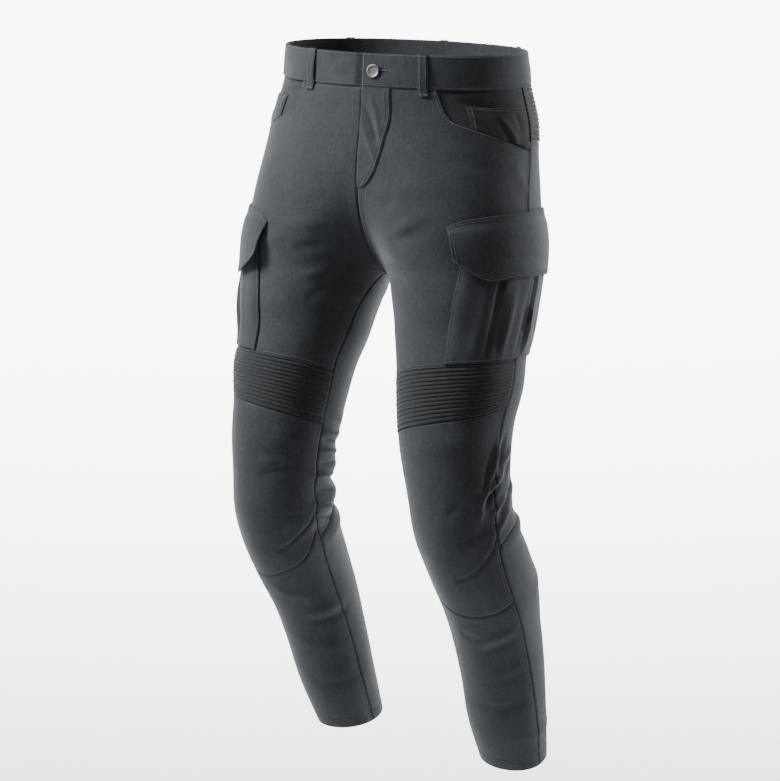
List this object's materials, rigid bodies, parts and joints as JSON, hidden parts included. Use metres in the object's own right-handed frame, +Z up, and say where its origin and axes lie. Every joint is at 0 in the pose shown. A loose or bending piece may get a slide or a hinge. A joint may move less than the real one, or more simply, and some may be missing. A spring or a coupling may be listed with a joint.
{
  "type": "motorcycle trousers",
  "caption": "Slim motorcycle trousers in charcoal stretch twill, in their worn shape with bent knees, with flapped thigh pockets and ribbed stretch panels.",
  "frame": {"origin": "centre of the waistband, halfway up it, where the wearer's waist holds the garment", "axes": "-Y is the front, +X the wearer's left, +Z up"},
  "size_m": [0.4262, 0.3259, 1.0169],
  "materials": {
    "twill": "charcoal grey stretch cotton twill, matt with a slight sheen",
    "ribbed_stretch": "dark grey ribbed stretch cloth, matt",
    "button_metal": "dull grey metal"
  },
  "bodies": {
    "root": {"back_left": "twill", "back_right": "twill", "back_yoke": "ribbed_stretch", "button": "button_metal", "calf_left": "twill", "calf_right": "twill", "cargo_flap_left": "twill", "cargo_flap_right": "twill", "cargo_pocket_left": "twill", "cargo_pocket_right": "twill", "coin_pocket_left": "twill", "coin_pocket_right": "twill", "fly": "twill", "front_left": "twill", "front_right": "twill", "knee_left": "twill", "knee_right": "twill", "loop_back_left": "twill", "loop_back_right": "twill", "loop_centre_back": "twill", "loop_front_left": "twill", "loop_front_right": "twill", "pocket_facing_left": "twill", "pocket_facing_right": "twill", "rib_panel_left": "ribbed_stretch", "rib_panel_right": "ribbed_stretch", "shin_left": "twill", "shin_right": "twill", "waistband_left": "twill", "waistband_right": "twill"}
  },
  "joints": []
}
